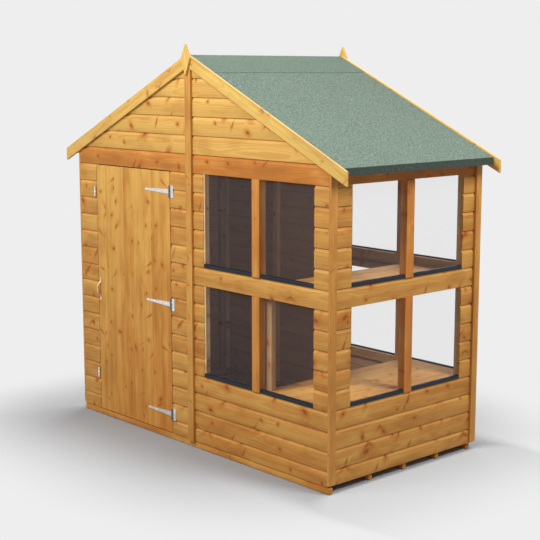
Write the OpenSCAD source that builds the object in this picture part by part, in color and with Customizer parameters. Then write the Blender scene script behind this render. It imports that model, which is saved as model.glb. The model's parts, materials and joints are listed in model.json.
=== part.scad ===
// Apex potting shed: a boarded box on bearers, with the ridge running front to back.
// The front and back gables carry a door and square windows, the right wall has windows too,
// and a two-tier staging bench stands inside it.
// Millimetres, +Z up, the front faces -Y, and the origin is on the ground at the middle.

/* [Plan] */
// Width across the gable, over the cladding
width = 2380; // [2200:10:2700]
// Depth from front to back, over the cladding
depth = 1280; // [1160:2:1600]

/* [Boards and timber] */
// Thickness of the cladding boards
clad_t = 12; // [8:1:20]
// Cover height of one cladding board
board_pitch = 113; // [100:1:125]
// Height of the bottom board, which is cut down
first_board_h = 94; // [60:1:110]
// Width of the framing timber, along the wall
stud_w = 44; // [34:1:55]
// Depth of the framing timber, from the cladding inwards
stud_d = 34; // [20:1:45]
// Thickness of the corner strips, cover strips and bargeboards
trim_t = 16; // [10:1:25]
// Width of the corner strips
corner_w = 50; // [40:1:80]
// Foot of the corner strips above the foot of the cladding
strip_foot = 12; // [0:1:30]
// Width of the cover strip up the middle of each gable
batten_w = 55; // [40:1:80]

/* [Floor] */
// Height of the bearers under the floor
bearer_h = 40; // [30:1:75]
// Width of the bearers
bearer_w = 30; // [25:1:60]
// Front bearer set back from the cladding face
bearer_back = 3; // [0:1:6]
// Back bearer set in from the cladding face
bearer_in = 21; // [12:1:40]
// Distance between bearers, counted from the back
bearer_spacing = 293; // [200:1:320]
// Bearers counted from the back, besides the front one
back_bearers = 4; // [2:1:4]
// Thickness of the floor boards
deck_t = 12; // [9:1:20]
// Gap between the floor's front edge and the back of the door
deck_gap = 6; // [5:1:10]

/* [Windows] */
// Cladding boards below the window sills
sill_boards = 4; // [3:1:5]
// Cladding boards beside each row of panes
pane_boards = 5; // [4:1:5]
// Width of the bars between the panes
mullion_w = 64; // [50:1:90]
// Wall between the gable's middle and its windows
jamb_mid_w = 123; // [100:1:180]
// Wall between the gable's windows and the corner
jamb_end_w = 113; // [105:1:180]
// Wall between the side windows and the front corner
jamb_front_w = 177; // [145:1:200]
// Wall between the side windows and the back corner
jamb_back_w = 152; // [145:1:200]
// Bars in front of the cladding face
mullion_out = 5; // [0:1:10]
// Thickness of the panes
pane_t = 3; // [2:1:6]
// Depth from the cladding face to the pane
pane_inset = 18; // [14:1:22]
// Height of the dark drip strip below each pane
drip_h = 22; // [15:1:35]
// Lip behind the foot of each pane
sill_lip = 12; // [6:1:18]

/* [Roof] */
// Slope of the roof in degrees
roof_pitch = 25; // [18:1:32]
// Side wall above the window heads, up to the roof
head_h = 129; // [110:1:160]
// Thickness of the roof boards
roof_board_t = 11; // [8:1:18]
// Thickness of the felt
felt_t = 3; // [2:1:6]
// Thickness of the felt strip over the ridge
ridge_felt_t = 2; // [1:1:4]
// Reach of the ridge strip down each slope, measured level
ridge_felt_w = 220; // [150:5:300]
// Roof beyond the side walls
eave_reach = 92; // [60:1:130]
// Height of the felted eaves face
eave_h = 42; // [36:1:60]
// Bargeboards beyond the eaves
barge_reach = 46; // [20:1:80]
// Width of the bargeboards
barge_w = 72; // [60:1:95]
// Bargeboard edge above the felt
barge_rise = 10; // [6:1:16]

/* [Finials] */
// Half the width of a finial
finial_half_w = 42; // [30:1:60]
// Height of a finial above its widest place
finial_up = 83; // [60:1:110]
// Height of a finial below its widest place
finial_down = 105; // [80:1:130]
// Widest place of a finial below the point of the bargeboards
finial_drop = 27; // [10:1:40]
// Thickness of a finial
finial_t = 15; // [10:1:22]

/* [Door] */
// Wall between the left corner and the doorway
door_strip_w = 186; // [150:1:230]
// Wall between the doorway and the gable's middle
door_mid_w = 201; // [150:1:260]
// Gap at each side of the door
door_gap = 5; // [5:1:8]
// Gap over the door
door_top_gap = 6; // [6:1:15]
// Gap between the bearers and the door's foot
door_foot_gap = 6; // [5:1:10]
// Height of the three ledges on the door's back
ledge_h = 95; // [70:1:120]
// Thickness of the ledges and braces
ledge_t = 22; // [16:1:28]
// Ledges and braces set in from the door's edges
ledge_inset = 10; // [10:1:30]
// Width of the braces, measured level
brace_w = 90; // [60:1:130]

/* [Hinges and fastenings] */
// Hinge centre from the door's top or foot
hinge_inset = 122; // [90:1:200]
// Length of the tapered strap, from the pin
strap_len = 256; // [150:1:320]
// Height of the strap at its knuckle
strap_root_h = 30; // [24:1:40]
// Height of the strap at its round tip
strap_tip_h = 12; // [8:1:20]
// Height of the plate on the wall
plate_h = 78; // [64:1:100]
// Width of the plate on the wall, from the pin
plate_w = 35; // [30:1:60]
// Thickness of the hinge metal
hinge_t = 3; // [2:1:4]
// Radius of the hinge knuckles
knuckle_r = 5; // [4:0.5:6]
// Hinge pin in front of the cladding face
pin_out = 6; // [6:0.5:8]
// Play between the knuckles
knuckle_play = 0.4; // [0.2:0.1:0.8]
// Height of the handle's middle above the ground
handle_z = 878; // [700:1:1100]
// Handle in from the door's free edge
handle_inset = 21; // [12:1:60]
// Span of the handle's bow
bow_span = 100; // [80:1:140]
// Straight middle of the bow
bow_grip = 44; // [30:1:60]
// How far the bow stands out from the door
bow_rise = 25; // [22:1:40]
// Thickness of the handle's bar
bow_d = 10; // [7:1:14]
// Length of each handle foot
foot_len = 36; // [24:1:40]
// Length of a turn button
button_len = 68; // [50:1:90]
// Width of a turn button
button_w = 14; // [10:1:16]
// Thickness of a turn button
button_t = 4; // [3:1:6]
// Turn button in front of the wall face, carried by its boss
button_out = 5.5; // [5.2:0.1:8]
// Turn button's pivot from the doorway's edge
button_inset = 8; // [8:1:30]
// Upper turn button below the door's top
button_top_drop = 178; // [100:1:300]
// Lower turn button above the door's foot
button_low_rise = 250; // [100:1:400]

/* [Staging bench] */
// Depth of the shelves, from the side wall's frame
shelf_depth = 506; // [350:1:560]
// Top of the upper shelf above the ground
shelf_top_z = 1110; // [900:1:1140]
// Top of the lower shelf above the ground
shelf_low_z = 485; // [300:1:560]
// Thickness of the shelf boards
shelf_t = 16; // [12:1:25]

/* [Hidden] */
$fn = 48;

pine = "#c9964f";
pine_light = "#dcae66";
pine_inner = "#a67c4a";
felt_green = "#8fa595";
felt_edge = "#46564a";
zinc = "#d4d4d0";
drip_navy = "#26303b";
pane_tint = "#c4ccd0";

half_w = width / 2;
half_d = depth / 2;
// Planes of the front gable, from outside to inside
face_y = -half_d;
back_of_clad_y = face_y + clad_t;
frame_in_y = back_of_clad_y + stud_d;
// Planes of the right wall, from inside to outside
clad_in_x = half_w - clad_t;
frame_in_x = clad_in_x - stud_d;
strip_out_x = half_w + trim_t;

// Levels: deck, sill, middle rail and window head lie on board joints
function joint_z(n) = bearer_h + first_board_h + (n - 1) * board_pitch;
deck_z = bearer_h + deck_t;
sill_z = joint_z(sill_boards);
mid_low_z = joint_z(sill_boards + pane_boards);
mid_high_z = joint_z(sill_boards + pane_boards + 1);
head_z = joint_z(sill_boards + 2 * pane_boards + 1);
pane_rows = [[sill_z, mid_low_z], [mid_high_z, head_z]];

// Columns of panes: two equal panes fill what the jambs and the bar leave
gable_pane_w = (half_w - jamb_mid_w - jamb_end_w - mullion_w) / 2;
gable_columns = [
    [jamb_mid_w, jamb_mid_w + gable_pane_w],
    [half_w - jamb_end_w - gable_pane_w, half_w - jamb_end_w]
];
side_pane_w = (depth - jamb_front_w - jamb_back_w - mullion_w) / 2;
side_columns = [
    [-half_d + jamb_front_w, -half_d + jamb_front_w + side_pane_w],
    [half_d - jamb_back_w - side_pane_w, half_d - jamb_back_w]
];
side_windows = [side_columns[0][0], side_columns[1][1]];

// Roof: the underside meets the outer top edge of the side walls
slope = tan(roof_pitch);
plumb = 1 / cos(roof_pitch);
side_top_z = head_z + head_h;
roof_seat = 0.05;
apex_under_z = side_top_z + slope * half_w;
function under_z(x) = apex_under_z - slope * abs(x);
function roof_low_z(x) = under_z(x) + roof_seat;
function board_top_z(x) = roof_low_z(x) + roof_board_t * plumb;
function felt_top_z(x) = board_top_z(x) + felt_t * plumb;
function barge_top_z(x) = felt_top_z(x) + barge_rise;
function barge_low_z(x) = barge_top_z(x) - barge_w * plumb;
eave_x = half_w + eave_reach;
barge_x = eave_x + felt_t + barge_reach;

// Door leaf and its hinge line
doorway_left_x = -half_w + door_strip_w;
doorway_right_x = -door_mid_w;
door_left_x = doorway_left_x + door_gap;
door_right_x = doorway_right_x - door_gap;
door_foot_z = bearer_h + door_foot_gap;
door_top_z = head_z - door_top_gap;
ledge_in_y = back_of_clad_y + ledge_t;
pin_x = doorway_right_x - door_gap / 2;
pin_y = face_y - pin_out;
hinge_zs = [
    door_foot_z + hinge_inset,
    (door_foot_z + door_top_z) / 2,
    door_top_z - hinge_inset
];
button_x = doorway_left_x - button_inset;
button_seat = 0.3;

// Staging bench
shelf_left_x = frame_in_x - shelf_depth;
shelf_zs = [shelf_low_z, shelf_top_z];

// Plain block between two opposite corners
module block(low, high) {
    translate(low) cube(high - low);
}

// Outline of [x, z] points, given a thickness from y towards the back
module upright(y, thickness, outline) {
    translate([0, y + thickness, 0])
        rotate([90, 0, 0])
            linear_extrude(thickness)
                polygon(outline);
}

// The same piece on the back gable as on the front one
module at_back() {
    mirror([0, 1, 0]) children();
}

// The same piece on the left as on the right
module at_left() {
    mirror([1, 0, 0]) children();
}

module front_and_back() {
    children();
    at_back() children();
}

module left_and_right() {
    children();
    at_left() children();
}

// Floor
module floor_bearers() {
    color(pine_inner) {
        front_y = face_y + bearer_back;
        block([-strip_out_x, front_y, 0], [strip_out_x, front_y + bearer_w, bearer_h]);
        for (i = [0 : back_bearers - 1]) {
            y = half_d - bearer_in - bearer_w - i * bearer_spacing;
            block([-clad_in_x, y, 0], [clad_in_x, y + bearer_w, bearer_h]);
        }
    }
}

module floor_deck() {
    color(pine_inner)
        block([-clad_in_x, back_of_clad_y + deck_gap, bearer_h],
              [clad_in_x, -back_of_clad_y, deck_z]);
}

// Gable cladding, drawn on the front
module gable_slab(x0, x1, z0, z1) {
    block([x0, face_y, z0], [x1, back_of_clad_y, z1]);
}

// Cladding from a level up to the roof, between two places on one side of the middle
module gable_peak(x0, x1, z0) {
    upright(face_y, clad_t, [[x0, z0], [x1, z0], [x1, under_z(x1)], [x0, under_z(x0)]]);
}

module gable_apron() {
    gable_slab(0, half_w, bearer_h, sill_z);
}

module gable_jambs() {
    for (row = pane_rows) {
        gable_slab(0, jamb_mid_w, row[0], row[1]);
        gable_slab(half_w - jamb_end_w, half_w, row[0], row[1]);
    }
}

module gable_midrail() {
    gable_slab(0, half_w, mid_low_z, mid_high_z);
}

module front_door_strips() {
    color(pine) {
        gable_slab(-half_w, doorway_left_x, bearer_h, head_z);
        gable_slab(doorway_right_x, 0, bearer_h, head_z);
    }
}

module front_door_gable() {
    color(pine_light) gable_peak(-half_w, 0, head_z);
}

module front_apron() {
    color(pine) gable_apron();
}

module front_jambs() {
    color(pine) gable_jambs();
}

module front_midrail() {
    color(pine) gable_midrail();
}

module front_window_gable() {
    color(pine_light) gable_peak(0, half_w, head_z);
}

module back_plain_wall() {
    color(pine) at_back() gable_peak(-half_w, 0, bearer_h);
}

module back_apron() {
    color(pine) at_back() gable_apron();
}

module back_jambs() {
    color(pine) at_back() gable_jambs();
}

module back_midrail() {
    color(pine) at_back() gable_midrail();
}

module back_window_gable() {
    color(pine_light) at_back() gable_peak(0, half_w, head_z);
}

// Side cladding, between the gables
module side_slab(y0, y1, z0, z1) {
    block([clad_in_x, y0, z0], [half_w, y1, z1]);
}

// Wall, plate or strip that runs along a side and is cut to the roof's slope at its top
module side_to_roof(x0, x1, y0, y1, z0) {
    upright(y0, y1 - y0, [[x0, z0], [x1, z0], [x1, under_z(x1)], [x0, under_z(x0)]]);
}

module right_apron() {
    color(pine) side_slab(back_of_clad_y, -back_of_clad_y, bearer_h, sill_z);
}

module right_jambs() {
    color(pine)
        for (row = pane_rows) {
            side_slab(back_of_clad_y, side_windows[0], row[0], row[1]);
            side_slab(side_windows[1], -back_of_clad_y, row[0], row[1]);
        }
}

module right_midrail() {
    color(pine) side_slab(back_of_clad_y, -back_of_clad_y, mid_low_z, mid_high_z);
}

module right_head() {
    color(pine) side_to_roof(clad_in_x, half_w, back_of_clad_y, -back_of_clad_y, head_z);
}

module left_wall() {
    color(pine)
        at_left() side_to_roof(clad_in_x, half_w, back_of_clad_y, -back_of_clad_y, bearer_h);
}

// Framing timber inside the walls
module gable_post(x0, x1) {
    block([x0, back_of_clad_y, deck_z + stud_w], [x1, frame_in_y, head_z]);
}

module gable_rail(x0, x1, z0) {
    block([x0, back_of_clad_y, z0], [x1, frame_in_y, z0 + stud_w]);
}

// Stud from the head rail to the peak, between the rafters
module king_post() {
    block([-stud_w / 2, back_of_clad_y, head_z + stud_w],
          [stud_w / 2, frame_in_y, under_z(stud_w / 2)]);
}

// Lip that keeps the foot of a gable pane in place, on the rail below it
module gable_lips() {
    for (row = pane_rows, column = gable_columns)
        block([column[0], face_y + pane_inset + pane_t, row[0] - stud_w / 2],
              [column[1], frame_in_y, row[0] + sill_lip]);
}

module gable_posts() {
    color(pine_inner) {
        front_and_back() {
            gable_post(-clad_in_x, -clad_in_x + stud_w);
            gable_post(-stud_w, stud_w);
            gable_post(jamb_mid_w - stud_w, jamb_mid_w);
            gable_post(half_w - jamb_end_w, half_w - jamb_end_w + stud_w);
            gable_post(clad_in_x - stud_w, clad_in_x);
            king_post();
        }
        gable_post(doorway_left_x - stud_w, doorway_left_x);
        gable_post(doorway_right_x, doorway_right_x + stud_w);
        at_back() gable_post(-half_w / 2 - stud_w / 2, -half_w / 2 + stud_w / 2);
    }
}

module gable_rails() {
    color(pine_inner) {
        front_and_back() {
            gable_rail(-clad_in_x, clad_in_x, head_z);
            gable_rail(jamb_mid_w, half_w - jamb_end_w, sill_z - stud_w);
            gable_rail(jamb_mid_w, half_w - jamb_end_w, mid_low_z);
            gable_rail(jamb_mid_w, half_w - jamb_end_w, mid_high_z - stud_w);
            gable_lips();
        }
        gable_rail(-clad_in_x, doorway_left_x, deck_z);
        gable_rail(doorway_right_x, clad_in_x, deck_z);
        at_back() gable_rail(-clad_in_x, clad_in_x, deck_z);
    }
}

module gable_rafters() {
    low = stud_w * plumb;
    color(pine_inner)
        front_and_back()
            left_and_right()
                upright(back_of_clad_y, stud_d, [
                    [stud_w / 2, under_z(stud_w / 2) - low],
                    [clad_in_x, under_z(clad_in_x) - low],
                    [clad_in_x, under_z(clad_in_x)],
                    [stud_w / 2, under_z(stud_w / 2)]
                ]);
}

module side_post(y0, top_z) {
    block([frame_in_x, y0, deck_z + stud_w], [clad_in_x, y0 + stud_w, top_z]);
}

module side_rail(y0, y1, z0) {
    block([frame_in_x, y0, z0], [clad_in_x, y1, z0 + stud_w]);
}

// The same lip for the side panes
module side_lips() {
    for (row = pane_rows, column = side_columns)
        block([frame_in_x, column[0], row[0] - stud_w / 2],
              [half_w - pane_inset - pane_t, column[1], row[0] + sill_lip]);
}

module side_posts() {
    plate_z = side_top_z - stud_w;
    color(pine_inner) {
        front_and_back() {
            side_post(frame_in_y, head_z);
            at_left() side_post(frame_in_y, plate_z);
        }
        side_post(side_windows[0] - stud_w, head_z);
        side_post(side_windows[1], head_z);
        at_left() side_post(-stud_w / 2, plate_z);
    }
}

module side_rails() {
    color(pine_inner) {
        left_and_right() {
            side_rail(frame_in_y, -frame_in_y, deck_z);
            side_to_roof(frame_in_x, clad_in_x, frame_in_y, -frame_in_y, side_top_z - stud_w);
        }
        side_rail(frame_in_y, -frame_in_y, head_z);
        side_rail(side_windows[0], side_windows[1], sill_z - stud_w);
        side_rail(side_windows[0], side_windows[1], mid_low_z);
        side_rail(side_windows[0], side_windows[1], mid_high_z - stud_w);
        side_lips();
    }
}

// Windows: bars between the panes, panes set into the frame, a drip strip under each pane
module window_mullions() {
    color(pine_light)
        for (row = pane_rows) {
            front_and_back()
                block([gable_columns[0][1], face_y - mullion_out, row[0]],
                      [gable_columns[1][0], frame_in_y, row[1]]);
            block([frame_in_x, side_columns[0][1], row[0]],
                  [half_w + mullion_out, side_columns[1][0], row[1]]);
        }
}

module window_panes() {
    color(pane_tint, 0.35)
        for (row = pane_rows) {
            front_and_back()
                for (column = gable_columns)
                    block([column[0], face_y + pane_inset, row[0]],
                          [column[1], face_y + pane_inset + pane_t, row[1]]);
            for (column = side_columns)
                block([half_w - pane_inset - pane_t, column[0], row[0]],
                      [half_w - pane_inset, column[1], row[1]]);
        }
}

module drip_strips() {
    color(drip_navy)
        for (row = pane_rows) {
            front_and_back()
                for (column = gable_columns)
                    block([column[0], face_y, row[0]],
                          [column[1], face_y + pane_inset, row[0] + drip_h]);
            for (column = side_columns)
                block([half_w - pane_inset, column[0], row[0]],
                      [half_w, column[1], row[0] + drip_h]);
        }
}

// Cover strips
module gable_battens() {
    edge = batten_w / 2;
    color(pine_light)
        front_and_back()
            upright(face_y - trim_t, trim_t, [
                [-edge, bearer_h],
                [edge, bearer_h],
                [edge, barge_low_z(edge) - roof_seat],
                [0, barge_low_z(0) - roof_seat],
                [-edge, barge_low_z(edge) - roof_seat]
            ]);
}

module corner_strips() {
    color(pine_light)
        front_and_back()
            left_and_right()
                side_to_roof(half_w, strip_out_x, face_y, face_y + corner_w, bearer_h + strip_foot);
}

// Roof
module roof_boards() {
    upright(face_y, depth, [
        [0, roof_low_z(0)],
        [eave_x, roof_low_z(eave_x)],
        [eave_x, board_top_z(eave_x)],
        [0, board_top_z(0)]
    ]);
}

module roof_boards_left() {
    color(pine_inner) at_left() roof_boards();
}

module roof_boards_right() {
    color(pine_inner) roof_boards();
}

// Felt over the boards, with a second strip lapped over the ridge
module roof_felt() {
    strip = ridge_felt_t * plumb;
    upright(face_y, depth, [
        [0, board_top_z(0)],
        [eave_x, board_top_z(eave_x)],
        [eave_x, felt_top_z(eave_x)],
        [ridge_felt_w, felt_top_z(ridge_felt_w)],
        [ridge_felt_w, felt_top_z(ridge_felt_w) + strip],
        [0, felt_top_z(0) + strip]
    ]);
}

module roof_felt_left() {
    color(felt_green) at_left() roof_felt();
}

module roof_felt_right() {
    color(felt_green) roof_felt();
}

// Felt turned down over the eaves
module eaves_felt() {
    edge_x = eave_x + felt_t;
    low_z = felt_top_z(edge_x) - eave_h;
    color(felt_edge)
        left_and_right()
            upright(face_y, depth, [
                [eave_x, low_z],
                [edge_x, low_z],
                [edge_x, felt_top_z(edge_x)],
                [eave_x, felt_top_z(eave_x)]
            ]);
}

module eaves_rails() {
    low_z = felt_top_z(eave_x + felt_t) - eave_h;
    color(pine_inner)
        left_and_right()
            side_to_roof(eave_x - stud_d, eave_x, face_y, -face_y, low_z);
}

module roof_purlins() {
    middle_x = half_w / 2;
    color(pine_inner)
        left_and_right()
            side_to_roof(middle_x, middle_x + stud_d, frame_in_y, -frame_in_y,
                         under_z(middle_x) - stud_w * plumb);
}

module bargeboard() {
    upright(face_y - trim_t, trim_t, [
        [0, barge_low_z(0)],
        [barge_x, barge_low_z(barge_x)],
        [barge_x, barge_top_z(barge_x)],
        [0, barge_top_z(0)]
    ]);
}

module bargeboards_left() {
    color(pine_light) front_and_back() at_left() bargeboard();
}

module bargeboards_right() {
    color(pine_light) front_and_back() bargeboard();
}

module finials() {
    wide_z = barge_top_z(0) - finial_drop;
    color(pine_light)
        front_and_back()
            upright(face_y - trim_t - finial_t, finial_t, [
                [0, wide_z + finial_up],
                [-finial_half_w, wide_z],
                [0, wide_z - finial_down],
                [finial_half_w, wide_z]
            ]);
}

// Door: upright boards, ledged and braced at the back
module door_boards() {
    color(pine)
        block([door_left_x, face_y, door_foot_z], [door_right_x, back_of_clad_y, door_top_z]);
}

module door_ledges() {
    color(pine_inner)
        for (z = hinge_zs)
            block([door_left_x + ledge_inset, back_of_clad_y, z - ledge_h / 2],
                  [door_right_x - ledge_inset, ledge_in_y, z + ledge_h / 2]);
}

// Braces rise from the hinge side to the free side
module door_braces() {
    left = door_left_x + ledge_inset;
    right = door_right_x - ledge_inset;
    color(pine_inner)
        for (i = [0, 1]) {
            z0 = hinge_zs[i] + ledge_h / 2;
            z1 = hinge_zs[i + 1] - ledge_h / 2;
            upright(back_of_clad_y, ledge_t, [
                [right - brace_w, z0],
                [right, z0],
                [left + brace_w, z1],
                [left, z1]
            ]);
        }
}

// Tee hinges: a tapered strap on the door, a plate on the wall and knuckles on one pin line
module knuckle(z0, z1) {
    translate([pin_x, pin_y, z0]) cylinder(r = knuckle_r, h = z1 - z0);
}

module hinge_strap(z) {
    tip_r = strap_tip_h / 2;
    half_root = strap_root_h / 2;
    upright(face_y - hinge_t, hinge_t, [
        [pin_x, z - half_root],
        [pin_x, z + half_root],
        [pin_x - strap_len + tip_r, z + tip_r],
        [pin_x - strap_len + tip_r, z - tip_r]
    ]);
    translate([pin_x - strap_len + tip_r, face_y, z])
        rotate([90, 0, 0])
            cylinder(r = tip_r, h = hinge_t);
    knuckle(z - half_root, z + half_root);
}

module hinge_straps() {
    color(zinc)
        for (z = hinge_zs)
            hinge_strap(z);
}

module hinge_plate(z) {
    slot = strap_root_h / 2 + knuckle_play;
    block([pin_x + knuckle_r + knuckle_play, face_y - hinge_t, z - plate_h / 2],
          [pin_x + plate_w, face_y, z + plate_h / 2]);
    for (end = [[-plate_h / 2, -slot], [slot, plate_h / 2]]) {
        block([pin_x, face_y - hinge_t, z + end[0]],
              [pin_x + plate_w, face_y, z + end[1]]);
        knuckle(z + end[0], z + end[1]);
    }
}

module hinge_plates() {
    color(zinc)
        for (z = hinge_zs)
            hinge_plate(z);
}

// Bow handle: a round bar with a straight middle and two slanted legs, on two flat feet
module handle_leg() {
    spread = (bow_span - bow_grip) / 2;
    bend_d = bow_d + 1;
    translate([0, -bow_rise, bow_grip / 2]) sphere(d = bend_d);
    intersection() {
        translate([0, -bow_rise, bow_grip / 2])
            rotate([-atan2(bow_rise, spread), 0, 0])
                cylinder(d = bow_d, h = norm([bow_rise, spread]) + bow_d);
        block([-bow_d, -2 * bow_rise, 0], [bow_d, 0, bow_span]);
    }
    translate([0, 0, bow_span / 2 + foot_len / 4])
        rotate([90, 0, 0])
            linear_extrude(hinge_t)
                square([bow_d + 4, foot_len], center = true);
}

module door_handle() {
    color(zinc)
        translate([door_left_x + handle_inset, face_y, handle_z]) {
            translate([0, -bow_rise, -bow_grip / 2]) cylinder(d = bow_d, h = bow_grip);
            handle_leg();
            mirror([0, 0, 1]) handle_leg();
        }
}

// Turn buttons: a flat bar with round ends that turns on a boss
module turn_button(z) {
    end_r = button_w / 2;
    reach = button_len / 2 - end_r;
    color(zinc)
        translate([button_x, face_y, z])
            rotate([90, 0, 0]) {
                translate([0, 0, button_seat])
                    cylinder(r = end_r, h = button_out - button_seat);
                translate([0, 0, button_out])
                    linear_extrude(button_t) {
                        square([button_w, 2 * reach], center = true);
                        for (side = [-1, 1])
                            translate([0, side * reach]) circle(r = end_r);
                    }
            }
}

module turn_button_top() {
    turn_button(door_top_z - button_top_drop);
}

module turn_button_low() {
    turn_button(door_foot_z + button_low_rise);
}

// Two-tier staging bench along the right wall
module staging_shelves() {
    color(pine)
        for (z = shelf_zs)
            block([shelf_left_x, frame_in_y, z - shelf_t], [frame_in_x, -frame_in_y, z]);
}

module staging_bearers() {
    color(pine_inner)
        front_and_back()
            for (z = shelf_zs)
                block([shelf_left_x, frame_in_y, z - shelf_t - stud_w],
                      [frame_in_x, frame_in_y + stud_d, z - shelf_t]);
}

module staging_posts() {
    spans = [
        [deck_z, shelf_low_z - shelf_t - stud_w],
        [shelf_low_z, shelf_top_z - shelf_t - stud_w]
    ];
    color(pine_light)
        front_and_back()
            for (span = spans)
                block([shelf_left_x, frame_in_y, span[0]],
                      [shelf_left_x + stud_w, frame_in_y + stud_d, span[1]]);
}

floor_bearers();
floor_deck();
front_door_strips();
front_door_gable();
front_apron();
front_jambs();
front_midrail();
front_window_gable();
back_plain_wall();
back_apron();
back_jambs();
back_midrail();
back_window_gable();
right_apron();
right_jambs();
right_midrail();
right_head();
left_wall();
gable_posts();
gable_rails();
gable_rafters();
side_posts();
side_rails();
window_mullions();
window_panes();
drip_strips();
gable_battens();
corner_strips();
roof_boards_left();
roof_boards_right();
roof_felt_left();
roof_felt_right();
eaves_felt();
eaves_rails();
roof_purlins();
bargeboards_left();
bargeboards_right();
finials();
door_boards();
door_ledges();
door_braces();
hinge_straps();
hinge_plates();
door_handle();
turn_button_top();
turn_button_low();
staging_shelves();
staging_bearers();
staging_posts();
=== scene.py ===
"""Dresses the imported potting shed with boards, timber, felt, glazing and ironwork, and sets the stage."""

import json
import math
import random

import bmesh
import bpy
from bpy.props import FloatProperty, FloatVectorProperty, IntProperty, PointerProperty
from mathutils import Matrix, Vector


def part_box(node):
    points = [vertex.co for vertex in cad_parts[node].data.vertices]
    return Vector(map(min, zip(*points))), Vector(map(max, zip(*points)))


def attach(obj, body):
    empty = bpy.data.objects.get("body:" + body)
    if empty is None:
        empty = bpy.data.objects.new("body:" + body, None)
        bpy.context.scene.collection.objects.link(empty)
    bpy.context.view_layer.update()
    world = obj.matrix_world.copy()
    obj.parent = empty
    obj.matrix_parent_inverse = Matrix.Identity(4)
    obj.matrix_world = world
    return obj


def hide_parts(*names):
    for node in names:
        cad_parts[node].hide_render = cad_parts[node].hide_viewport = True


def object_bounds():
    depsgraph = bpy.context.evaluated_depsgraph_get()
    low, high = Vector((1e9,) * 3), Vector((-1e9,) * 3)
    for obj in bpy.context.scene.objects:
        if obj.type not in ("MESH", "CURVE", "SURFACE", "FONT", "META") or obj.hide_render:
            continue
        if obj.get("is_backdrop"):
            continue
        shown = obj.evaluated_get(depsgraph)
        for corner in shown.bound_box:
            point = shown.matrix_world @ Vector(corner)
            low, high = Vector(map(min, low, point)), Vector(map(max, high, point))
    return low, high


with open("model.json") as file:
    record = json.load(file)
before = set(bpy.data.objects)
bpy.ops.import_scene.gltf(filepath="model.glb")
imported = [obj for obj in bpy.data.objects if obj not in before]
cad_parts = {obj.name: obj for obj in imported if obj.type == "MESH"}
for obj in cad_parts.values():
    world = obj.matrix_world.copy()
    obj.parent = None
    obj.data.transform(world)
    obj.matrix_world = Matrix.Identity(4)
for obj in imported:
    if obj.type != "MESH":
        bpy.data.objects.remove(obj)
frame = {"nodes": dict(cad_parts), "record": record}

bl_info = {
    "name": "Potting shed",
    "version": (1, 0, 0),
    "blender": (4, 5, 0),
    "location": "View3D > Sidebar > Shed",
    "description": "Boards, timber, felt, glazing and ironwork for the packed potting shed",
    "category": "Add Mesh",
}

CAD_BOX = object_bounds()
RIGHT = Vector((1, 0, 0))
BACK = Vector((0, 1, 0))
UP = Vector((0, 0, 1))
WALLS = {"front": -BACK, "back": BACK, "right": RIGHT, "left": -RIGHT}

# Angles between faces: smooth below, a corner to round above, and flat enough to join up
SMOOTH_BELOW = math.radians(26)
CORNER_ABOVE = math.radians(20)
FLAT_BELOW = math.radians(0.5)
# A face is a timber's side where its normal leans along the grain by less than this
SIDE_LEAN = 0.1
# Vertices this close are one, points this close lie on a plane, and heights this close are the same
WELD = 1e-5
ON_PLANE = 1e-6
HAIR = 1e-4


def length(name, description, default):
    """A length that a user may change."""
    return FloatProperty(name=name, description=description, default=default, min=0, unit="LENGTH")


def colour(name, description, default):
    """A colour that a user may change."""
    return FloatVectorProperty(
        name=name, description=description, default=default, size=3, min=0, max=1, subtype="COLOR"
    )


class ShedSizes(bpy.types.PropertyGroup):
    """Sizes of the boards, edges and fastenings"""

    pitch: length("Board pitch", "Cover height of one cladding board", 0.113)
    first: length("Bottom board", "Height of the cut-down bottom board", 0.094)
    scoop: length("Scoop height", "Height of the hollow along the top of a cladding board", 0.0165)
    hollow: length("Scoop depth", "Depth of that hollow", 0.0070)
    slot: length("Joint slot", "Height of the dark slot under a cladding board's lip", 0.0030)
    lip: length("Lip", "Rounding of a cladding board's lower edge", 0.0030)
    foot_gap: length("Foot gap", "Gap between the bottom boards and the floor bearers", 0.002)
    ease: length("Eased edge", "Rounding of planed timber", 0.0016)
    bearer_ease: length("Bearer edge", "Rounding of the floor bearers", 0.0070)
    joint: length("Board joint", "Gap between floor, shelf and roof boards", 0.0006)
    door_board: length("Door board", "Cover width of the door's upright boards", 0.0992)
    shelf_board: length("Shelf board", "Cover width of the shelf boards", 0.128)
    deck_board: length("Floor board", "Cover width of the floor boards", 0.1135)
    roof_board: length("Roof board", "Cover width of the roof boards", 0.1153)
    drip_round: length("Drip rounding", "Rounding of the drip strips' outer edge", 0.013)
    bead: length("Bead", "Width and depth of the bead beside a gable pane", 0.010)
    bead_back: length("Bead set-back", "Bead behind the cladding face", 0.004)
    bead_foot: length("Bead foot", "Foot of a bead above the sill", 0.022)
    screw: length("Screw head", "Radius of a screw head", 0.0042)
    nail: length("Nail head", "Radius of a cladding nail's head", 0.0024)
    clout: length("Clout nail", "Radius of a felt nail's head", 0.0045)
    clout_gap: length("Clout spacing", "Distance between the felt nails", 0.098)
    ridge_lap: length("Ridge strip edge", "Thickness of the ridge strip's lower edge", 0.0018)
    screws: IntProperty(name="Strap screws", description="Screws in each hinge strap", default=4, min=2)


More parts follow.
